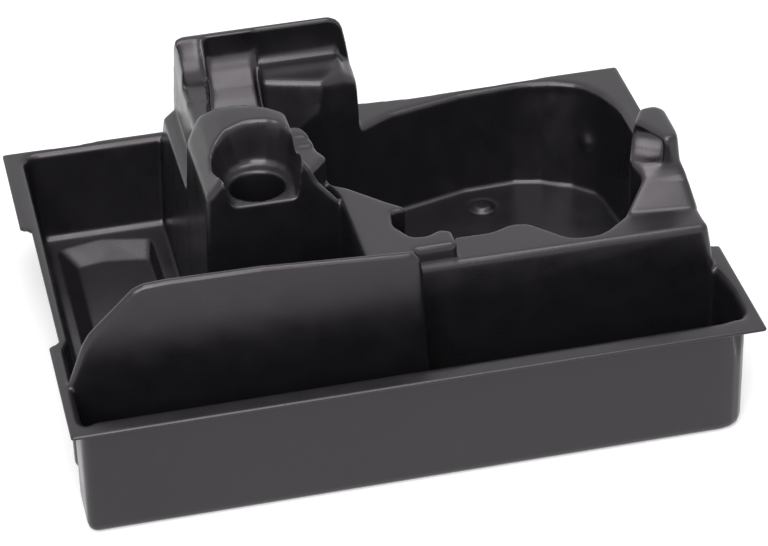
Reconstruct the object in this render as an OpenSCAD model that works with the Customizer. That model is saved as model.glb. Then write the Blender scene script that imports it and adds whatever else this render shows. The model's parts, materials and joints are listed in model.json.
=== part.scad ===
// Tool case insert: one thin formed tray with pockets, a folded divider and raised seats.
// Millimetres, +Z up, origin on the underside of the floor below the middle of the rim.
// The sheet is the difference of two forms: the face as seen and the same face one wall deeper.

/* [Overall] */
// Width of the rim, left to right
insert_w = 384; // [382:0.5:388]
// Depth of the rim, front to back
insert_d = 296; // [295:0.5:299]
// Height of the rim's top face above the underside
rim_z = 71; // [69:0.5:74]
// Thickness of the formed sheet
wall = 1.8; // [1.4:0.1:2]
// Radius where the pockets roll over on to the rim
rim_r = 4; // [3:0.5:5]

/* [Rim] */
// Width of the rim beside the front trough, left
flange_left = 8; // [7:0.5:9]
// Width of the rim beside the front trough, right
flange_right = 11.5; // [11:0.5:13]
// Width of the rim in front of the trough
flange_front = 10; // [9:0.5:12]
// Depth of the long notch in each side edge
notch_depth = 6; // [4:0.5:7]
// Front end of the side notches
notch_front = -61; // [-66:0.5:-56]
// Back end of the side notches
notch_back = 62; // [57:0.5:67]

/* [Front trough] */
// Inward lean of the trough walls from rim to floor
trough_lean = 2; // [1.5:0.5:3]
// Radius where the trough walls meet its floor
trough_fillet = 3.5; // [3:0.5:6]

/* [Left pocket] */
// Height of the left pocket's floor
pocket_z = 13; // [11:0.5:15]
// Inward lean of the left pocket's walls
pocket_lean = 5; // [4:0.5:6]
// Height of the sunk floor inside the left pocket
recess_z = 6; // [5:0.5:8]

/* [Divider] */
// Half thickness of the divider, also the radius of its top edge
divider_r = 3; // [2.8:0.1:3.5]
// Distance of the divider's middle plane in front of the centre
divider_y = -100; // [-102:0.5:-99]
// Height of the divider along its long level run
divider_z = 129; // [124:0.5:132]

/* [Cup block] */
// Height of the crown over the cup
crown_z = 143.5; // [141:0.5:146]
// Height of the ring the cup stands on
ring_z = 117; // [114:0.5:120]
// Radius of the deep socket
socket_r = 15.8; // [14:0.1:17]
// Height of the socket's floor
socket_z = 77; // [70:0.5:90]
// Height of the small stepped shelf beside the crown
shelf_z = 130; // [127:0.5:132]

/* [Rear tower] */
// Height of the tower's back ridge
tower_z = 139.5; // [134:0.5:141]
// Radius of the wide cove in the tower
cove_r = 40; // [38:0.5:42]
// Radius of the narrow cove beside it
small_cove_r = 23.5; // [22:0.5:25]
// Height of the saddle in front of the narrow cove
saddle_z = 124; // [121:0.5:127]
// Height of the box at the tower's right end
box_z = 112; // [108:0.5:116]

/* [Plateaus] */
// Height of the three-armed middle plateau
middle_z = 111; // [108:0.5:114]
// Height of the right plateau
right_z = 100; // [97:0.5:103]
// Radius of the plateau edges
edge_r = 3; // [2.4:0.1:3.4]

/* [Basin] */
// Height of the basin's floor
basin_z = 5; // [4:0.5:8]
// Extra inward lean of the basin's walls at the floor
basin_lean = 0; // [-1:0.25:1]
// Radius where the basin's walls meet its floor
basin_f = 3; // [2:0.25:4]
// Radius of the round pad on the basin's floor
pad_r = 7; // [5:0.5:9]

/* [Right horn] */
// Height of the horn's top
horn_z = 137.5; // [134:0.5:141]
// Height of the seat lip on the horn
seat_z = 120; // [118:0.5:122]
// Height of the neck below the seat
neck_z = 113; // [111:0.5:115]
// Underside of the lip along the horn's top
horn_lip_z = 134; // [133:0.25:134.5]
// Radius of the hollow between the lip and the seat
scoop_r = 14.2; // [13:0.1:15]

/* [Hidden] */
// Edges of the rim
left_x = -insert_w / 2;
right_x = insert_w / 2;
front_y = -insert_d / 2;
back_y = insert_d / 2;
// Solid left below the floors before the underside is taken away
skirt = 12;
// Buried foot of every raised part
base_z = -4;
// Segments of every fillet seen in section
arc_n = 3;
// Segments round a ball at a rounded corner, on the face and on the underside
ball_fn = 12;
under_fn = 8;
// Segments round a cup or socket
cup_fn = 32;
// Smallest corner radius left after an offset
tiny_r = 0.4;

// Outline of the rim with its side notches
rim_plan = [
    [left_x, front_y, 1.5],
    [right_x, front_y, 1.5],
    [right_x, notch_front - 1, 1],
    [right_x - notch_depth - 1, notch_front + 0.5, 1],
    [right_x - notch_depth - 1, notch_back - 3, 3],
    [right_x, notch_back, 1.5],
    [right_x, back_y, 1.5],
    [150, back_y, 8],
    [128, back_y - 1, 8],
    [60, back_y - 2.5, 8],
    [27, back_y, 8],
    [-133, back_y, 8],
    [-146, back_y - 1.5, 8],
    [-180, back_y - 1, 3],
    [left_x, back_y - 1, 1.5],
    [left_x, notch_back, 1.5],
    [left_x + notch_depth, notch_back - 2.5, 3],
    [left_x + notch_depth, notch_front + 3, 2],
    [left_x, notch_front, 1.5],
];

// Front trough, its back corners buried in the raised parts
trough_plan = [
    [left_x + flange_left, front_y + flange_front, 6],
    [right_x - flange_right, front_y + flange_front, 14],
    [right_x - flange_right, -60, 4],
    [9, -60, 4],
    [9, divider_y + 2, 1],
    [left_x + flange_left, divider_y + 2, 4],
];

// Left pocket with its arm in front of the cup block
pocket_plan = [
    [left_x + 8, divider_y - 6, 4],
    [-10, divider_y - 6, 4],
    [-10, -10, 4],
    [-90, -10, 1],
    [-90, back_y - 7, 4],
    [left_x + 12, back_y - 7, 9],
    [left_x + 12, notch_front + 5, 4],
    [left_x + 8, notch_front - 4, 4],
];

// Sunk floor of the left pocket, at its bottom and at its top edge
recess_low = [
    [-157, -52, 3],
    [-112, -52, 3],
    [-111.5, 40, 8],
    [-112.5, 108, 4],
    [-140, 113, 8],
    [-157, 110, 4],
];
recess_high = [
    [-167.5, -60, 5],
    [-109, -60, 5],
    [-108.9, 40, 8],
    [-109.5, 121.5, 4],
    [-140, 129, 10],
    [-167, 123, 6],
];

// Basin wall line, the rim rolls outward from it
basin_plan = [
    [right_x - 13.5, 2, 6],
    [right_x - 12.5, 70, 30],
    [right_x - 13, 100, 30],
    [right_x - 20.5, 124, 24],
    [right_x - 36, back_y - 10, 24],
    [130, back_y - 5.5, 30],
    [90, back_y - 8, 60],
    [42, 129, 16],
    [26, 119.5, 10],
    [-1, 104, 2],
    [-37.6, 104.5, 3],
    [-37.6, 39, 2],
    [-29, 36, 2],
    [-25.5, 24, 4],
    [-24, 13, 3],
    [-20, 3.5, 2],
    [-18, -1.5, 3],
    [-11, -6.8, 6],
    [6.4, -26, 8],
    [18.4, -37.6, 2.2],
    [7.2, -38.8, 2],
    [5.2, -51.5, 6],
    [12.5, -66, 5],
    [21, -67, 6],
    [29, -62.5, 3],
    [35.5, -66, 1.5],
    [38, -56, 3],
    [60, -56.5, 10],
    [72, -51.5, 8],
    [82, -52.8, 9],
    [101, -74, 12],
    [118, -75.5, 14],
    [136, -60.5, 10],
    [151.5, -45.4, 3],
    [145.3, -37.2, 3],
    [158, -4, 6],
];

// The same wall line at the basin's floor, its bays smoothed out
basin_low = [
    [174, 4, 6],
    [175, 70, 30],
    [172, 102, 30],
    [165, 117.5, 24],
    [150, 124.5, 24],
    [131, 136, 30],
    [90, 134.5, 60],
    [46, 123, 16],
    [28, 114.5, 10],
    [3, 101.5, 2],
    [-33, 101.5, 3],
    [-33, 42, 2],
    [-27, 40, 2],
    [-22, 28, 4],
    [-20, 15, 3],
    [-15.5, 7, 2],
    [-12, 2, 3],
    [-6, -3, 6],
    [11, -21, 8],
    [21, -36, 2.2],
    [23, -42, 2],
    [22, -48, 6],
    [23, -54, 5],
    [27, -56.5, 6],
    [33, -56.5, 6],
    [38, -54.5, 8],
    [44, -53.5, 8],
    [60, -52, 10],
    [72, -47.5, 8],
    [83, -48.5, 9],
    [102, -68, 12],
    [117, -69, 14],
    [133, -55, 10],
    [147.5, -41.5, 3],
    [142.5, -34, 3],
    [152, 2, 6],
];

// Middle plateau, its right and rear sides taken by the basin, at its foot and at its top
middle_low = [
    [-16.5, divider_y + 1, 1],
    [11.3, divider_y + 1, 1],
    [10.9, -79.6, 1],
    [35.5, -79.6, 2.5],
    [35.5, -30, 1],
    [0, 30, 1],
    [-30, 30, 1],
    [-21.6, -17.2, 3],
];
middle_high = [
    [-16.5, divider_y + 1, 1],
    [11.5, divider_y + 1, 1],
    [11.1, -79.6, 1],
    [35.5, -79.6, 2.5],
    [35.5, -30, 1],
    [0, 30, 1],
    [-30, 30, 1],
    [-17.8, -15.9, 3],
];

// Right plateau below the horn
right_low = [
    [5.3, -83.1, 3],
    [right_x - 9, -83, 4],
    [right_x - 9, -4, 6],
    [150, -4, 2],
    [5, -30, 2],
];
right_high = [
    [5.2, -81.8, 3],
    [right_x - 14, -83.5, 4],
    [right_x - 13.5, -6, 6],
    [150, -6, 2],
    [5, -30, 2],
];

// U shaped opening of the cup, at the ring and above the crown
cup_low = [
    [-77.5, -40, 1],
    [-43.5, -40, 1],
    [-40.2, 0, 3],
    [-40.2, 22.5, 20],
    [-80.8, 22.5, 20],
    [-80.8, 0, 3],
];
cup_high = [
    [-84, -40, 1],
    [-37, -40, 1],
    [-35.8, 0, 3],
    [-35.8, 28, 22],
    [-94, 28, 30],
    [-94, -4, 12],
];

// Plan helpers: unit vector, outward normal of an edge, offset corner and signed turn
function unit(v) = v / norm(v);
function outward(a, b) = unit([b[1] - a[1], a[0] - b[0]]);
function mitre(q, n1, n2, d) = q + d * (n1 + n2) / (1 + n1 * n2);
function turn(n1, n2) = atan2(n1[0] * n2[1] - n1[1] * n2[0], n1 * n2);
function arc_steps(r, t) = abs(t) < 12 ? 0 : max(1, min(4, round(abs(t) / (r < 4 ? 45 : 24))));
function flat(p) = [p[0], p[1]];

// One rounded corner, moved outward by d; inner corners shrink where outer ones grow
function corner(q, n1, n2, r, d, steps) =
    let (t = turn(n1, n2))
    let (s = t >= 0 ? 1 : -1)
    let (rr = max(r + s * d, tiny_r))
    let (c = mitre(q, n1, n2, d - s * rr))
    let (a = atan2(n1[1], n1[0]))
    steps == 0
        ? [mitre(q, n1, n2, d)]
        : [for (k = [0:steps]) c + s * rr * [cos(a + t * k / steps), sin(a + t * k / steps)]];

// Closed ring of a plan whose corners are [x, y, radius], moved outward by d.
// The arc steps come from one plan of a loft, so every ring has the same count
function ring(plan, d, shape) =
    let (n = len(plan))
    [for (i = [0:n - 1])
        let (h = (i + n - 1) % n, j = (i + 1) % n)
        let (steps = arc_steps(shape[i][2], bend_at(shape, h, i, j)))
        each corner(flat(plan[i]), side_of(plan, h, i), side_of(plan, i, j), plan[i][2], d, steps)];
function side_of(plan, i, j) = outward(flat(plan[i]), flat(plan[j]));
function bend_at(plan, h, i, j) = turn(side_of(plan, h, i), side_of(plan, i, j));

// Plan between two plans of the same count
function blend(low, high, t) = [for (i = [0:len(low) - 1]) low[i] * (1 - t) + high[i] * t];

// Rows [offset, height, blend] of a sunk form with a floor fillet f and a rolled rim r
function sunk_rows(zf, zt, lean, f, r, e, top) = concat(
    [for (k = [0:arc_n]) [-lean - f + (f + e) * sin(90 * k / arc_n),
        zf + f - (f + e) * cos(90 * k / arc_n), 0]],
    [for (k = [0:arc_n]) [r - (r - e) * cos(90 * k / arc_n),
        zt - r + (r - e) * sin(90 * k / arc_n), 1]],
    [[r, top, 1]]
);

// Rows of a raised form with a foot fillet f and a rounded top edge r
function raised_rows(zf, zt, lean, f, r, e, mid) = concat(
    [[lean + f, base_z, 0]],
    [for (k = [arc_n:-1:0]) [lean + f - (f + e) * cos(90 * k / arc_n),
        zf + f - (f + e) * sin(90 * k / arc_n), 0]],
    mid,
    [for (k = [0:arc_n]) [-r + (r - e) * cos(90 * k / arc_n),
        zt - r + (r - e) * sin(90 * k / arc_n), 1]]
);

// Solid through a stack of rings
module loft(low, high, rows) {
    rings = [for (row = rows) [for (p = ring(blend(low, high, row[2]), row[0], high)) [p[0], p[1], row[1]]]];
    m = len(rings[0]);
    h = len(rings);
    sides = [for (j = [0:h - 2]) for (i = [0:m - 1])
        let (a = j * m + i, b = j * m + (i + 1) % m)
        each [[a, a + m, b + m], [a, b + m, b]]];
    polyhedron(
        points = [for (r = rings) each r],
        faces = concat([[for (i = [0:m - 1]) i]], sides, [[for (i = [m - 1:-1:0]) (h - 1) * m + i]]),
        convexity = 10
    );
}

// Rounded mass over ball centres [x, y, z], a fourth number makes that ball larger
module soft(points, r, e) {
    hull() {
        for (p = points) {
            extra = len(p) > 3 ? p[3] : 0;
            translate([p[0], p[1], p[2]]) sphere(r = r + extra - e, $fn = e > 0 ? under_fn : ball_fn);
        }
    }
}

// The same points set on the buried base
function down(points, z) = [for (p = points) [p[0], p[1], z]];

// Cylinder along X used for the coves
module cove(x0, x1, y, z, r, e) {
    translate([x0 - e, y, z]) rotate([0, 90, 0]) cylinder(h = x1 - x0 + 2 * e, r = r + e, $fn = 48);
}

// Rim plate with everything below it, grown at the edge for the underside form
module slab(e) {
    grow = e > 0 ? 1 : 0;
    translate([0, 0, -skirt - grow]) linear_extrude(height = rim_z - e + skirt + grow)
        polygon(ring(rim_plan, grow, rim_plan));
}

// Basin from its floor up to a top face at height z, where it rolls outward by r.
// Every one shares the same floor, fillet and upright wall, so they meet without a step
module basin(e, z, r) {
    rows = sunk_rows(basin_z, z, basin_lean, basin_f, r, e, z + 60);
    bend = [[e, rim_z - rim_r - 2, 1]];
    loft(basin_low, basin_plan, concat([for (k = [0:arc_n]) rows[k]], bend, [for (k = [arc_n + 1:len(rows) - 1]) rows[k]]));
}

// Rim plate with the trough, the left pocket, its sunk floor and the basin taken out
module pan(e) {
    difference() {
        slab(e);
        loft(trough_plan, trough_plan,
            sunk_rows(wall, rim_z, trough_lean, trough_fillet, rim_r, e, rim_z + 1));
        loft(pocket_plan, pocket_plan,
            sunk_rows(pocket_z, rim_z, pocket_lean, 5, rim_r, e, rim_z + 1));
        loft(recess_low, recess_high,
            [[0, recess_z - e, 0], [e / 2, pocket_z - e / 2, 1], [e / 2, pocket_z + 8, 1]]);
        soft([
            [left_x + 9.7, divider_y + 9, pocket_z + 1],
            [left_x + 9.7, divider_y + 9, rim_z + 8],
            [left_x + 17, divider_y + 12, pocket_z + 3],
            [left_x + 14, divider_y + 12, rim_z + 8],
        ], 3, -e);
        basin(e, rim_z, rim_r - 1);
    }
}

// Upright fold between the trough and the pockets, standing on the trough floor
module divider(e) {
    r = divider_r;
    soft([
        [left_x + 5, divider_y, rim_z - 8],
        [-184 + r, divider_y, rim_z - r],
        [-177.7 + r, divider_y, divider_z - 35],
        [-174 + r, divider_y, divider_z - 29],
        [-149 + r, divider_y, divider_z - r - 2],
        [-144 + r, divider_y, divider_z - r],
        [-129, divider_y, divider_z + 0.6 - r],
        [-78, divider_y, divider_z - r],
        [4, divider_y, divider_z - 5.5 - r],
        [9.5 - r, divider_y, divider_z - 8.7 - r],
        [10.3 - r, divider_y, divider_z - 13 - r],
        [12.95 - r, divider_y, base_z, 1.85],
        [left_x + 5, divider_y, base_z, 1.3],
    ], r, e);
}

// Crown with its soft shoulders, the ridge running down to the plateau and the shelf
module cup_block(e) {
    r = 4;
    difference() {
        union() {
            soft(concat(
                [for (y = [-20 + r, 46]) [-89.5, y, 125 - 3]],
                [for (y = [-20 + r, 54]) [-83.2 + 1.5, y, 135 - 3.6]],
                [for (y = [-20 + r, 50]) [-74, y, 140.5 - r]],
                [for (y = [-20 + r, 46]) [-62, y, crown_z - 0.4 - r]],
                [for (y = [-20 + r, 37]) [-48, y, crown_z - r]],
                [for (y = [-20 + r, 32]) [-41, y, crown_z - 1 - r]],
                [for (y = [10, 53]) [-41, y, 124]],
                [[-95.4 + r, -20 + r, 76], [-95 + r, 54, 76], [-82, 56, 122], [-41, 52, 76]],
                down([[-99.2 + r, -24 + r], [-41, -24 + r], [-41, 52], [-99.2 + r, 54]], base_z)
            ), r, e);
            soft([
                [-42, -17.4, crown_z - 5.5],
                [-39, -17.4, crown_z - 6],
                [-36, -17.4, 133.5],
                [-29.3, -17.3, 118],
                [-29.3, -17.8, 76],
                [-42, -17.4, 76],
                [-42, -12, base_z],
                [-29, -12, base_z],
                [-42, -21, base_z],
                [-29, -21, base_z],
            ], 2.4, e);
            soft([
                [-36, -17.6, 128.5],
                [-29, -17.6, 119.5],
                [-20.5, -17.6, 109.3],
                [-18.5, -17.6, 104],
                [-19, -18, 76],
                [-36, -18, 76],
                [-20, -21, base_z],
                [-90, -21, base_z],
                [-42, -8, base_z],
                [-22, -8, base_z],
            ], 2.4, e);
            shelf(e, shelf_z, [[-45, 27], [-45, 35], [-31, 34], [-28.2, 31], [-26.7, 26]]);
            shelf(e, shelf_z - 1.6, [[-46, 19], [-46, 30], [-27.6, 30], [-25.9, 18]]);
            shelf(e, shelf_z - 3.2, [[-47, -12], [-47, 22], [-26.2, 22], [-25, 12], [-22.2, 4.4], [-28, -1], [-36, -12]]);
        }
        loft(cup_low, cup_high, [
            [e - 3, ring_z - e, 0],
            [e - 0.8, ring_z + 0.8 - e / 2, 0],
            [e, ring_z + 3, 0.05],
            [e, crown_z + 5, 1],
        ]);
        translate([-61.5, -1.5, socket_z - e]) cylinder(
            h = ring_z + 8 - socket_z, r1 = socket_r - 2.2 + e, r2 = socket_r + 0.4 + e, $fn = cup_fn);
    }
}

// One tread of the shelf, filled down to the floor
module shelf(e, z, plan) {
    soft(concat([for (p = plan) [p[0], p[1], z - 2.2]], down(plan, base_z)), 2.2, e);
}

// Tower with its back ridge, the coves, the saddle and the box at the right
module tower(e) {
    difference() {
        union() {
            // broad base that ends in the ledge on the left
            soft(concat(
                [[-95.1 + 2.5, 45, 86 - 2.5], [-95.1 + 2.5, 130, 91 - 2.5], [-88.4, 45, 90 - 2.5], [-88.4, 130, 95 - 2.5], [-45, 45, 85], [-45, 129, 85]],
                down([[-99.9 + 2.5, 40], [-99.9 + 2.5, 139], [-45, 139], [-45, 40]], base_z),
                [[-96.1 + 2.5, 139.2, 69], [-45, 137, 69]]
            ), 2.5, e);
            // body behind the crown
            soft(concat(
                [[-84.3 + 3, 136.4, tower_z - 3], [-84.9 + 3, 118, tower_z - 3]],
                [[-86.4 + 3, 62, saddle_z - 3], [-38.5, 62, 132], [-38.5, 135, tower_z - 3]],
                [[-87.6 + 3, 60, 84], [-87.6 + 3, 136.8, 84], [-38.5, 50, 84], [-38.5, 135, 84]],
                down([[-86, 60], [-86, 137], [-38.5, 137], [-38.5, 45]], base_z)
            ), 3, e);
            // back ridge over the full width
            soft([
                [-81.4 + 2.4, 138.1, tower_z - 2.4],
                [-84.7 + 2.4, 138.1, tower_z - 6],
                [17.1 - 2.4, 138.1, tower_z - 2.4],
                [-87.2 + 2.4, 139, 95],
                [22.8 - 2.4, 139, 98.6],
                [23.8 - 2.4, 140.6, rim_z],
                [-88 + 2.4, 140.6, rim_z],
                [23.8 - 2.4, 140.6, base_z],
                [-88 + 2.4, 140.6, base_z],
            ], 2.4, e);
        }
        intersection() {
            cove(-90, -30, 95.5, 131, cove_r, e);
            translate([0, 0, 60]) linear_extrude(height = 100)
                offset(delta = e) polygon([[-66.5, 142], [-67, 128], [-78, 50], [-25, 50], [-25, 142]]);
        }
        cove(-83.6, -70, 112, saddle_z + small_cove_r - 1, small_cove_r, e);
        cove(-80, -60, 112, saddle_z + small_cove_r, small_cove_r - 1.4, e);
        translate([-95 - e, 50 - e, saddle_z - e]) cube([28 + 2 * e, 55 + 2 * e, 40]);
    }
    box_end(e);
}

// Box and ledge at the tower's right end
module box_end(e) {
    soft(concat(
        [[-33.5, 119.5, box_z - 3], [-1.5, 110.7, box_z - 3], [10.5, 119, box_z - 4], [19.4, 122, box_z - 11]],
        [[-33.5, 137.5, box_z - 3], [12, 137.5, box_z - 3], [19.4, 137.5, box_z - 9]],
        down([[-33.5, 83.6], [-1.6, 100], [20, 108], [20, 138], [-33.5, 138]], base_z)
    ), 3, e);
}

// Three-armed middle plateau and the right plateau
module plateaus(e) {
    difference() {
        loft(middle_low, middle_high, raised_rows(wall - 0.3, middle_z, 0, 3, edge_r, e, []));
        basin(e, middle_z, 2.2);
    }
    difference() {
        loft(right_low, right_high, raised_rows(wall - 0.3, right_z, 2, 6, edge_r, e, [[0.4 - e, rim_z, 0.2]]));
        basin(e, right_z, 2.2);
    }
}

// Horn at the right: bulge, neck, seat and head with its scooped panel
module horn(e) {
    r = 2.6;
    difference() {
        union() {
            soft(concat(
                [[138.5, -58.5, right_z - r + 0.5], [175, -62.5, right_z - r + 0.5]],
                [[151.5, -47, neck_z - r], [173.5, -50.5, neck_z - r], [174, -10, neck_z - r], [155, -30, neck_z - r]],
                [[176.3, -12, right_z - r], [176.3, -60, right_z - r], [150, -20, right_z - r]],
                down([[142, -55], [175.6, -60], [175.6, -8], [150, -8]], 60)
            ), r, e);
            soft([
                [146.6, -34.9, seat_z - r],
                [153.6, -40.6, seat_z - r],
                [161, -42.4, seat_z - r],
                [171.6, -43.2, seat_z - r],
                [173, -15, seat_z - r],
                [172, -9.5, seat_z - r],
                [160, -8.6, seat_z - r],
                [155, -46, neck_z - r],
                [174, -47.5, neck_z - r],
                [176, -15, right_z],
                [175.5, -7, right_z],
                [157, -6, right_z],
                [178.6, -15, 66],
                [178.6, -2, 66],
                [155, 0, 66],
                [148, -44, 66],
                [151, -44, neck_z - 8],
            ], r, e);
            difference() {
                soft([
                    [161, -11.8, horn_z - r],
                    [167.6, -11.1, horn_z - r],
                    [170.5, -14.8, horn_z - r],
                    [170.2, -38.8, horn_z - r],
                    [169.3, -43, horn_z - r],
                    [165.2, -43.6, horn_z - r],
                    [155.2, -22.9, horn_z - r],
                    [172.6, -15, seat_z - 4],
                    [171.6, -9.6, seat_z - 4],
                    [160.5, -8.6, seat_z - 4],
                    [171.4, -42.8, seat_z - 4],
                    [161, -42.1, seat_z - 4],
                    [146.9, -34.5, seat_z - 4],
                ], r, e);
                scoop(e);
            }
        }
    }
}

// Hollow under the horn's lip: a quarter round that runs out on the seat
module scoop(e) {
    intersection() {
        translate([152.7, -40.6, horn_lip_z]) rotate([0, 0, -31]) rotate([0, 90, 0])
            translate([0, 0, -15]) cylinder(h = 25.5 + e, r = scoop_r + e, $fn = 32);
        translate([120, -80, 100]) cube([60, 80, horn_lip_z - 100 + 0.2 + e]);
    }
}

// Complete face of the insert, e deeper than the face that is seen
module form(e) {
    grow = e > 0 ? 1 : 0;
    pan(e);
    intersection() {
        union() {
            difference() {
                union() {
                    divider(e);
                    cup_block(e);
                    tower(e);
                    horn(e);
                }
                basin(e, crown_z + 60, rim_r);
            }
            plateaus(e);
        }
        translate([0, 0, -skirt + 2]) linear_extrude(height = 200) polygon(ring(rim_plan, grow, rim_plan));
    }
    translate([96.3, 113.2, basin_z - 1 - e]) cylinder(
        h = e > 0 ? 1 : 2.2, r1 = pad_r - e / 2, r2 = pad_r - 1 - e / 2, $fn = cup_fn);
}

// The formed sheet
module insert_shell() {
    color([0.16, 0.16, 0.17]) difference() {
        form(0);
        form(wall);
    }
}

insert_shell();
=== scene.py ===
import json
import math

import bpy
import numpy as np
from mathutils import Matrix, Vector

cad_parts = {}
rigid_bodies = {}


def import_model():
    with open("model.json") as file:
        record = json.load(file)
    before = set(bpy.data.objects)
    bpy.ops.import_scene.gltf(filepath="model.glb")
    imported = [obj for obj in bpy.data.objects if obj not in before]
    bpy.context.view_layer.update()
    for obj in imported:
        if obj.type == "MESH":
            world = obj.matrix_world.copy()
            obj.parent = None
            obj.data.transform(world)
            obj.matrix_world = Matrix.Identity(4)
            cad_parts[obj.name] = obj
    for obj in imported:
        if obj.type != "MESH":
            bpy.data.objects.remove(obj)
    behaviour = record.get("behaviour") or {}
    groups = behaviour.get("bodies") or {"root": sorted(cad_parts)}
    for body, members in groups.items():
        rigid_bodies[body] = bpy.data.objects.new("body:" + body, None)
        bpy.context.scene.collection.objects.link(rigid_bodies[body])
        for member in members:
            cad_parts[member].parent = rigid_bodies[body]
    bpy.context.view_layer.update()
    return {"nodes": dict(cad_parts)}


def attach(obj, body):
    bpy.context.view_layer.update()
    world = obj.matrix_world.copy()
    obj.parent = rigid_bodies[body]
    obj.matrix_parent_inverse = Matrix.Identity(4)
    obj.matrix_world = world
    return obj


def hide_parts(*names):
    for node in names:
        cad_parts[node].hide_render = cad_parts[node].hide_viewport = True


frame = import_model()
print("packed insert loaded")


def deselectAll():
    bpy.ops.object.select_all(action="DESELECT")


def pick(piece):
    deselectAll()
    piece.select_set(True)
    bpy.context.view_layer.objects.active = piece


def applyModifier(piece, name):
    pick(piece)
    bpy.ops.object.modifier_apply(modifier=name)


# the camera stands where the photo was taken from
cameraSettings = {
    "place": (-0.2969, -1.4999, 1.0685),  # metres, in the insert's own frame
    "lookAt": (0.0017, -0.0390, 0.0710),
    "roll": -2.17,  # degrees
    "lens": 149.06,  # millimetres
    "sensor": 36,  # millimetres wide
    "drawn": (0.05, 30),  # nearest and furthest distance, in metres
}


def addCamera(settings):
    bpy.ops.object.camera_add(location=settings["place"])
    camera = bpy.context.object
    camera.name = "productCamera"
    forward = (Vector(settings["lookAt"]) - Vector(settings["place"])).normalized()
    side = forward.cross(Vector((0, 0, 1))).normalized()
    above = side.cross(forward)
    roll = math.radians(settings["roll"])
    across = side * math.cos(roll) + above * math.sin(roll)
    upward = above * math.cos(roll) - side * math.sin(roll)
    turned = Matrix((across, upward, -forward)).transposed().to_4x4()
    turned.translation = Vector(settings["place"])
    camera.matrix_world = turned
    camera.data.sensor_width = settings["sensor"]
    camera.data.lens = settings["lens"]
    camera.data.clip_start, camera.data.clip_end = settings["drawn"]
    bpy.context.scene.camera = camera


# dark formed plastic, semi-gloss with the small unevenness that forming leaves
plasticSettings = {
    "colour": (0.0056, 0.0051, 0.0059, 1),
    "dullColour": (0.0076, 0.0070, 0.0080, 1),  # slightly paler clouds in the sheet
    "clouds": {"scale": 14, "detail": 3},
    "roughness": (0.25, 0.36),
    "smears": {"scale": 60, "detail": 4},  # duller and glossier patches
    "smearRange": (0.3, 0.7),
    "waves": {"scale": 34, "detail": 1},  # slow waves left by the warm sheet
    "waveBump": {"strength": 0.10, "distance": 0.001},
    "grain": {"scale": 2600, "detail": 2},  # fine grain of the sheet's face
    "grainBump": {"strength": 0.035, "distance": 0.0002},
    "ior": 1.56,
    "specularTint": (1.0, 0.93, 1.0, 1),  # the sheet mirrors with a trace of violet
}


def addNoise(nodes, links, place, values):
    noise = nodes.new("ShaderNodeTexNoise")
    noise.inputs["Scale"].default_value = values["scale"]
    noise.inputs["Detail"].default_value = values["detail"]
    links.new(place.outputs["Object"], noise.inputs["Vector"])
    return noise


def addBump(nodes, links, height, values):
    bump = nodes.new("ShaderNodeBump")
    bump.inputs["Strength"].default_value = values["strength"]
    bump.inputs["Distance"].default_value = values["distance"]
    links.new(height.outputs["Fac"], bump.inputs["Height"])
    return bump


def makePlastic(settings):
    plastic = bpy.data.materials.new("formedPlastic")
    plastic.use_nodes = True
    nodes = plastic.node_tree.nodes
    links = plastic.node_tree.links
    shader = nodes["Principled BSDF"]
    shader.inputs["Metallic"].default_value = 0
    shader.inputs["IOR"].default_value = settings["ior"]
    shader.inputs["Specular Tint"].default_value = settings["specularTint"]
    place = nodes.new("ShaderNodeTexCoord")

    clouds = addNoise(nodes, links, place, settings["clouds"])
    tint = nodes.new("ShaderNodeMix")
    tint.data_type = "RGBA"
    tint.inputs["A"].default_value = settings["colour"]
    tint.inputs["B"].default_value = settings["dullColour"]
    links.new(clouds.outputs["Fac"], tint.inputs["Factor"])
    links.new(tint.outputs["Result"], shader.inputs["Base Color"])

    smears = addNoise(nodes, links, place, settings["smears"])
    gloss = nodes.new("ShaderNodeMapRange")
    gloss.inputs["From Min"].default_value = settings["smearRange"][0]
    gloss.inputs["From Max"].default_value = settings["smearRange"][1]
    gloss.inputs["To Min"].default_value = settings["roughness"][0]
    gloss.inputs["To Max"].default_value = settings["roughness"][1]
    links.new(smears.outputs["Fac"], gloss.inputs["Value"])
    links.new(gloss.outputs["Result"], shader.inputs["Roughness"])

    waves = addNoise(nodes, links, place, settings["waves"])
    waveBump = addBump(nodes, links, waves, settings["waveBump"])
    grain = addNoise(nodes, links, place, settings["grain"])
    grainBump = addBump(nodes, links, grain, settings["grainBump"])
    links.new(waveBump.outputs["Normal"], grainBump.inputs["Normal"])
    links.new(grainBump.outputs["Normal"], shader.inputs["Normal"])
    return plastic


# the formed sheet, its folds drawn soft as they come off the tool
sheetSettings = {
    "mergeBelow": 0.000008,  # metres, as the voxel is
    "voxel": 0.0009,
    "softenFactor": 0.5,  # how far one round moves a point towards its neighbours
    "softenRounds": 8,
    "edgeShare": 0.10,  # how much of the softening the rim's cut edge gets
    "rollRounds": 26,  # further rounds where the folds are rolled wide
    "broadRounds": 80,  # and where the walls sweep round in one curve
    "triangles": 180000,
}


def copyOfNode(name, newName):
    pick(frame["nodes"][name])
    bpy.ops.object.duplicate()
    piece = bpy.context.object
    bpy.ops.object.parent_clear(type="CLEAR_KEEP_TRANSFORM")
    for key in list(piece.keys()):
        del piece[key]
    piece.name = newName
    piece.data.name = newName
    return piece


def mergeCorners(piece, distance):
    pick(piece)
    bpy.ops.object.mode_set(mode="EDIT")
    bpy.ops.mesh.select_all(action="SELECT")
    bpy.ops.mesh.remove_doubles(threshold=distance)
    bpy.ops.mesh.select_all(action="DESELECT")
    bpy.ops.object.mode_set(mode="OBJECT")


def meshPoints(piece):
    flatList = np.zeros(len(piece.data.vertices) * 3)
    piece.data.vertices.foreach_get("co", flatList)
    return flatList.reshape(-1, 3)


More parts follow.
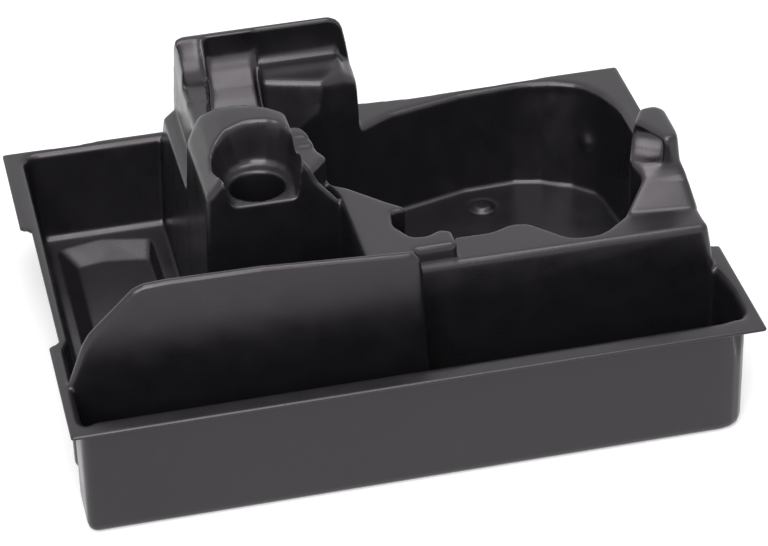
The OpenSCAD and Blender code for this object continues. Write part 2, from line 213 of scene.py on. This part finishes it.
# where the rim was trimmed, in metres: its side notches, their ends, and its long edges
trimSettings = {
    "notchSpan": (-0.063, 0.062),
    "notchEdges": (-0.1838, 0.1828),
    "sideEdge": 0.1898,
    "notchEnds": (0.1835, 0.0605, 0.0045),  # least x, y of an end, and its reach
    "longEdge": 0.1442,
    "heights": (0.0665, 0.0718),
}


def rimCutEdge(points, settings):
    x, y, z = points[:, 0], points[:, 1], points[:, 2]
    inNotch = (y > settings["notchSpan"][0]) & (y < settings["notchSpan"][1])
    notchEdge = (x < settings["notchEdges"][0]) | (x > settings["notchEdges"][1])
    sideEdge = np.where(inNotch, notchEdge, np.abs(x) > settings["sideEdge"])
    leastX, endY, reach = settings["notchEnds"]
    notchEnds = (np.abs(x) > leastX) & (np.abs(np.abs(y) - endY) < reach)
    longEdge = np.abs(y) > settings["longEdge"]
    atRim = (z > settings["heights"][0]) & (z < settings["heights"][1])
    return atRim & (sideEdge | notchEnds | longEdge)


millimetres = 1000  # in a metre, as the forms from here to makeSheet are in millimetres


# rises from 0 to 1 between start and end, with no kink at either
def ramp(value, start, end):
    share = np.clip((value - start) / (end - start), 0, 1)
    return share * share * (3 - 2 * share)


def within(value, low, high, fade):
    return ramp(value, low - fade, low) * (1 - ramp(value, high, high + fade))


# the outer walls of the trough spread at their foot, all below the rim's top
wallSpread = {
    "rimTop": 71,
    "front": 4.3,
    "frontBand": (116, 131),
    "left": 3.5,
    "leftBand": (150, 178),
    "leftFrom": (92, 112),
    "right": 4.0,
    "rightBand": (150, 176),
    "rightRim": (184, 191),
    "rightFrom": (70, 110),
}


def spreadWalls(x, y, z, settings):
    low = np.clip((settings["rimTop"] - z) / settings["rimTop"], 0, 1)
    y = y - settings["front"] * low * ramp(-y, *settings["frontBand"])
    leftWall = settings["left"] * low * ramp(-x, *settings["leftBand"])
    x = x - leftWall * ramp(-y, *settings["leftFrom"])
    endWall = ramp(x, *settings["rightBand"]) * (1 - ramp(x, *settings["rightRim"]))
    x = x + settings["right"] * endWall * ramp(-y, *settings["rightFrom"])
    return x, y, z


# the front rim's roll reaches back over the trough, on the sheet's inner face alone
frontRoll = {
    "reach": 3.5,
    "axis": (-142, 67),  # centre line of the roll, in y and z
    "middleRadius": 3.1,
    "wallMiddle": (-138.9, 0.034),  # y of the wall's middle at the axis, and its lean
    "heights": (44, 60),
    "topFace": 70.1,
    "starts": (-145.5, -141.5),
    "ends": (-134, -128),
    "corners": (176, 184),
}


def reachRoll(x, y, z, settings):
    axisY, axisZ = settings["axis"]
    middleY, lean = settings["wallMiddle"]
    rollOut = np.hypot(y - axisY, z - axisZ)
    onRoll = (rollOut > settings["middleRadius"]) | (y < axisY)
    innerFace = np.where(z < axisZ, y > middleY + lean * (axisZ - z), onRoll)
    innerFace = innerFace & (z > settings["heights"][0])
    innerFace = innerFace & ((z > settings["topFace"]) | (y > axisY))
    reach = ramp(z, *settings["heights"]) * ramp(y, *settings["starts"])
    reach = reach * (1 - ramp(y, *settings["ends"]))
    moved = np.where(innerFace, settings["reach"] * reach, 0)
    moved = moved * (1 - ramp(np.abs(x), *settings["corners"]))
    return x, y + moved, z


# the wide cove is nearly flat below its dark top
coveFill = {
    "fill": 8.5,
    "axis": (95.5, 131),  # in y and z
    "topAngle": (84, 36),  # degrees from straight down, and the range it grows over
    "lowAngle": (-5, 22),
    "depth": (37, 44, 3),
    "leftEnd": (-71, -68.5),
    "rightEnd": (-40, -36.8),
}


def fillCove(x, y, z, settings):
    axisY, axisZ = settings["axis"]
    topAngle, growth = settings["topAngle"]
    away = np.hypot(y - axisY, z - axisZ)
    angle = np.degrees(np.arctan2(y - axisY, axisZ - z))
    fill = ramp(topAngle - angle, 0, growth) * ramp(angle, *settings["lowAngle"])
    fill = fill * within(away, *settings["depth"])
    fill = fill * ramp(x, *settings["leftEnd"]) * (1 - ramp(x, *settings["rightEnd"]))
    fill = fill * settings["fill"]
    return x, y - fill * np.sin(np.radians(angle)), z + fill * np.cos(np.radians(angle))


# the box top rises to a wide hollow fold against the ridge
boxTop = {
    "frontRise": 1.5,
    "backRise": 2.4,
    "width": (-36.5, 20, 3),
    "below": (97, 107),
    "above": (116, 136),
    "starts": (102, 108),
    "depth": (112, 20),  # y of the front edge, and how far back the rise runs
    "fold": 6.0,
    "foldWidth": (-33, 12, 4),
    "foldPlace": (134, 110),  # in y and z
    "foldSize": (10, 7),
    "foldWay": (-0.85, 0.53),
}


def raiseBoxTop(x, y, z, settings):
    front, depth = settings["depth"]
    frontRise, backRise = settings["frontRise"], settings["backRise"]
    onBox = within(x, *settings["width"]) * ramp(z, *settings["below"])
    onBox = onBox * (1 - ramp(z, *settings["above"])) * ramp(y, *settings["starts"])
    z = z + onBox * (frontRise + (backRise - frontRise) * np.clip((y - front) / depth, 0, 1))
    foldY, foldZ = settings["foldPlace"]
    sizeY, sizeZ = settings["foldSize"]
    fold = np.exp(-((y - foldY) / sizeY) ** 2 - ((z - foldZ) / sizeZ) ** 2)
    fold = fold * within(x, *settings["foldWidth"]) * settings["fold"]
    wayY, wayZ = settings["foldWay"]
    return x, y + fold * wayY, z + fold * wayZ


# the ridge's right top corner is round
ridgeCorner = {
    "radius": 9.0,
    "plainRadius": 3.0,  # radius of the plain form's corner
    "rightEnd": 16.8,
    "top": 139.5,
    "behind": 118,
    "nearZero": 1e-6,
}


def roundRidge(x, y, z, settings):
    radius, plainRadius = settings["radius"], settings["plainRadius"]
    outX, outZ = x - (settings["rightEnd"] - radius), z - (settings["top"] - radius)
    nearZero = settings["nearZero"]
    turn = np.arctan2(np.maximum(outZ, nearZero), np.maximum(outX, nearZero))
    longer = np.maximum(np.cos(turn), np.sin(turn))
    shorter = np.minimum(np.cos(turn), np.sin(turn))
    inner = radius - plainRadius
    reachOut = inner * (longer + shorter)
    rounded = reachOut + np.sqrt(np.maximum(reachOut ** 2 - 2 * inner ** 2 + plainRadius ** 2, 0))
    plain = np.where(radius * shorter > inner * longer, rounded, radius / longer)
    scale = np.where((outX > 0) & (outZ > 0) & (y > settings["behind"]), radius / plain, 1)
    return x + (scale - 1) * np.maximum(outX, 0), y, z + (scale - 1) * np.maximum(outZ, 0)


# the pad on the basin's floor stands in a shallow ring, and the back right wall has a small bump
basinMarks = {
    "padPlace": (96.3, 113.2),
    "padRise": 1.0,
    "padEdge": (5.0, 7.2),
    "ringRadius": 8.6,
    "ringWidth": 1.3,
    "ringDepth": 0.8,
    "floorWidth": (40, 170, 3),
    "floorTop": (10, 13),
    "bumpPlace": (166.3, 120.1, 35.8),
    "bumpSize": 4,
    "bumpHeight": 5.0,
    "bumpWay": (-0.8, -0.6),
}


def markBasin(x, y, z, settings):
    fromPad = np.hypot(x - settings["padPlace"][0], y - settings["padPlace"][1])
    onFloor = within(x, *settings["floorWidth"]) * (1 - ramp(z, *settings["floorTop"]))
    z = z + onFloor * (1 - ramp(fromPad, *settings["padEdge"])) * settings["padRise"]
    ring = np.exp(-((fromPad - settings["ringRadius"]) / settings["ringWidth"]) ** 2)
    z = z - onFloor * ring * settings["ringDepth"]
    bumpX, bumpY, bumpZ = settings["bumpPlace"]
    fromBump = (x - bumpX) ** 2 + (y - bumpY) ** 2 + (z - bumpZ) ** 2
    bump = np.exp(-fromBump / settings["bumpSize"] ** 2) * settings["bumpHeight"]
    return x + bump * settings["bumpWay"][0], y + bump * settings["bumpWay"][1], z


# low corner, high corner and fade of each place whose folds are rolled wide
rollPlaces = {
    "narrowCove": ((-90, 92, 84), (-66, 136, 136), 5),
    "crown": ((-92, -8, 88), (-22, 84, 150), 6),
    "ridgeRun": ((-28, 10, 76), (20, 62, 130), 6),
    "boxTop": ((-30, 106, 100), (24, 128, 122), 4),
    "basinBackRim": ((-24, 88, 58), (176, 140, 75), 5),
    "basinRightRim": ((140, -30, 58), (176, 140, 78), 5),
    "troughEndRoll": ((166, -134, 58), (188, -40, 76), 4),
    "horn": ((118, -70, 96), (172, 6, 145), 5),
}
broadPlaces = {
    "basinWalls": ((-30, -40, 13), (186, 145, 60), 4),
    "crownBack": ((-92, 46, 100), (-14, 84, 152), 6),
}


# the underside along the recess's thin right wall moves outwards, so the remesh leaves no slit
recessWall = {
    "added": 1.3,
    "lowRing": (4.2, 0.2),  # height of the ring below the slope, and its reach
    "highRing": (11.2, 0.25),
    "across": (-112.6, -107.5),
    "along": (-62, 118),
}


def thickenRecess(points, settings):
    x, y, z = points[:, 0], points[:, 1], points[:, 2]
    lowZ, lowReach = settings["lowRing"]
    highZ, highReach = settings["highRing"]
    onRings = (np.abs(z - lowZ) < lowReach) | (np.abs(z - highZ) < highReach)
    across = (x > settings["across"][0]) & (x < settings["across"][1])
    along = (y > settings["along"][0]) & (y < settings["along"][1])
    moved = points.copy()
    moved[onRings & across & along, 0] += settings["added"]
    return moved


def shapeSheet(points):
    x, y, z = points[:, 0].copy(), points[:, 1].copy(), points[:, 2].copy()
    for shapeStep, values in (
        (spreadWalls, wallSpread),
        (reachRoll, frontRoll),
        (fillCove, coveFill),
        (raiseBoxTop, boxTop),
        (roundRidge, ridgeCorner),
        (markBasin, basinMarks),
    ):
        x, y, z = shapeStep(x, y, z, values)
    return np.stack((x, y, z), axis=1)


def rollShare(points, places):
    share = np.zeros(len(points))
    for low, high, fade in places.values():
        place = np.ones(len(points))
        for axis in range(3):
            place *= within(points[:, axis], low[axis], high[axis], fade)
        share = np.maximum(share, place)
    return share


def putPoints(piece, points):
    piece.data.vertices.foreach_set("co", points.ravel())
    piece.data.update()


shareLevels = 10  # a vertex group gives its share of the softening in this many steps


def softenSheet(sheet, name, shares, factor, rounds):
    group = sheet.vertex_groups.new(name=name)
    for level in range(1, shareLevels + 1):
        picked = np.flatnonzero(np.round(shares * shareLevels) == level).tolist()
        group.add(picked, level / shareLevels, "REPLACE")
    soften = sheet.modifiers.new(name, "SMOOTH")
    soften.factor = factor
    soften.iterations = rounds
    soften.vertex_group = name
    applyModifier(sheet, name)


def makeSheet(settings):
    sheet = copyOfNode("insert_shell", "formedSheet")
    mergeCorners(sheet, settings["mergeBelow"])
    putPoints(sheet, thickenRecess(meshPoints(sheet) * millimetres, recessWall) / millimetres)
    remesh = sheet.modifiers.new("evenMesh", "REMESH")
    remesh.mode = "VOXEL"
    remesh.voxel_size = settings["voxel"]
    applyModifier(sheet, "evenMesh")
    print("sheet remeshed", len(sheet.data.vertices))

    points = meshPoints(sheet)
    edge = rimCutEdge(points, trimSettings)
    rolls = rollShare(points * millimetres, rollPlaces)
    broad = rollShare(points * millimetres, broadPlaces)
    putPoints(sheet, shapeSheet(points * millimetres) / millimetres)
    print("sheet shaped")
    factor = settings["softenFactor"]
    softShare = np.where(edge, settings["edgeShare"], 1.0)
    softenSheet(sheet, "softFolds", softShare, factor, settings["softenRounds"])
    softenSheet(sheet, "wideRolls", np.where(edge, 0, rolls), factor, settings["rollRounds"])
    softenSheet(sheet, "broadRolls", np.where(edge, 0, broad), factor, settings["broadRounds"])

    thin = sheet.modifiers.new("fewerFaces", "DECIMATE")
    thin.decimate_type = "COLLAPSE"
    wholeCount = 2 * len(sheet.data.polygons)  # each face of the even mesh is two triangles
    thin.ratio = settings["triangles"] / wholeCount
    applyModifier(sheet, "fewerFaces")
    sheet.vertex_groups.clear()
    pick(sheet)
    bpy.ops.object.shade_smooth()
    print("sheet finished", len(sheet.data.polygons))
    return sheet


# the pale floor and the white room round it
stageSettings = {
    "floorSize": 14,
    "floorHeight": -0.0002,  # a hair below the insert's underside
    "floorColour": (0.86, 0.86, 0.86, 1),
    "floorRoughness": 0.9,
    "floorSeen": 1.2,  # as the sheet mirrors it
    "floorWhiter": 0.35,  # added for the camera alone, with the shadow left in it
    "worldSeen": 1.0,  # as the camera and the sheet's gloss see the room
    "worldLight": 0.30,  # how strongly the room lights the insert
}
plainWhite = (1, 1, 1, 1)


def addFloor(settings):
    floorPlace = (0, 0, settings["floorHeight"])
    bpy.ops.mesh.primitive_plane_add(size=settings["floorSize"], location=floorPlace)
    floor = bpy.context.object
    floor.name = "paleFloor"
    white = bpy.data.materials.new("paleFloorPaint")
    white.use_nodes = True
    nodes = white.node_tree.nodes
    links = white.node_tree.links
    paint = nodes["Principled BSDF"]
    paint.inputs["Base Color"].default_value = settings["floorColour"]
    paint.inputs["Roughness"].default_value = settings["floorRoughness"]
    paint.inputs["Specular IOR Level"].default_value = 0
    paint.inputs["Emission Color"].default_value = plainWhite
    glow = nodes.new("ShaderNodeEmission")
    glow.inputs["Color"].default_value = plainWhite
    glow.inputs["Strength"].default_value = settings["floorSeen"]
    rays = nodes.new("ShaderNodeLightPath")
    whiter = nodes.new("ShaderNodeMath")
    whiter.operation = "MULTIPLY"
    whiter.inputs[1].default_value = settings["floorWhiter"]
    links.new(rays.outputs["Is Camera Ray"], whiter.inputs[0])
    links.new(whiter.outputs["Value"], paint.inputs["Emission Strength"])
    mixer = nodes.new("ShaderNodeMixShader")
    links.new(rays.outputs["Is Glossy Ray"], mixer.inputs["Fac"])
    links.new(paint.outputs["BSDF"], mixer.inputs[1])
    links.new(glow.outputs["Emission"], mixer.inputs[2])
    links.new(mixer.outputs["Shader"], nodes["Material Output"].inputs["Surface"])
    floor.data.materials.append(white)


def addWorld(settings):
    world = bpy.data.worlds.new("paleRoom")
    world.use_nodes = True
    bpy.context.scene.world = world
    nodes = world.node_tree.nodes
    links = world.node_tree.links
    room = nodes["Background"]
    room.inputs["Color"].default_value = plainWhite
    room.inputs["Strength"].default_value = settings["worldLight"]
    seen = nodes.new("ShaderNodeBackground")
    seen.inputs["Color"].default_value = plainWhite
    seen.inputs["Strength"].default_value = settings["worldSeen"]
    rays = nodes.new("ShaderNodeLightPath")
    mixer = nodes.new("ShaderNodeMixShader")
    either = nodes.new("ShaderNodeMath")  # the white room is seen and mirrored, the rest lights
    either.operation = "MAXIMUM"
    links.new(rays.outputs["Is Camera Ray"], either.inputs[0])
    links.new(rays.outputs["Is Glossy Ray"], either.inputs[1])
    links.new(either.outputs["Value"], mixer.inputs["Fac"])
    links.new(room.outputs["Background"], mixer.inputs[1])
    links.new(seen.outputs["Background"], mixer.inputs[2])
    links.new(mixer.outputs["Shader"], nodes["World Output"].inputs["Surface"])


# two soft boxes, both turned to the middle of the insert
lampAim = (0, 0, 0.08)
lampSettings = {
    "frontTopBox": {"place": (-0.48, -1.35, 1.40), "size": (1.50, 1.50), "power": 37},
    "overheadBox": {"place": (0.05, -0.15, 1.90), "size": (1.40, 1.10), "power": 18},
}


def addLamp(name, settings):
    bpy.ops.object.light_add(type="AREA", location=settings["place"])
    lamp = bpy.context.object
    lamp.name = name
    lamp.data.shape = "RECTANGLE"
    lamp.data.size, lamp.data.size_y = settings["size"]
    lamp.data.energy = settings["power"]
    aim = Vector(lampAim) - Vector(settings["place"])
    lamp.rotation_euler = aim.to_track_quat("-Z", "Y").to_euler()


addCamera(cameraSettings)
plastic = makePlastic(plasticSettings)
sheet = makeSheet(sheetSettings)
sheet.data.materials.clear()
sheet.data.materials.append(plastic)
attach(sheet, "root")
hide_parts("insert_shell")
print("sheet dressed")

addFloor(stageSettings)
addWorld(stageSettings)
for lampName, lampValues in lampSettings.items():
    addLamp(lampName, lampValues)
bpy.context.scene.view_settings.view_transform = "Standard"
print("stage and lamps placed")
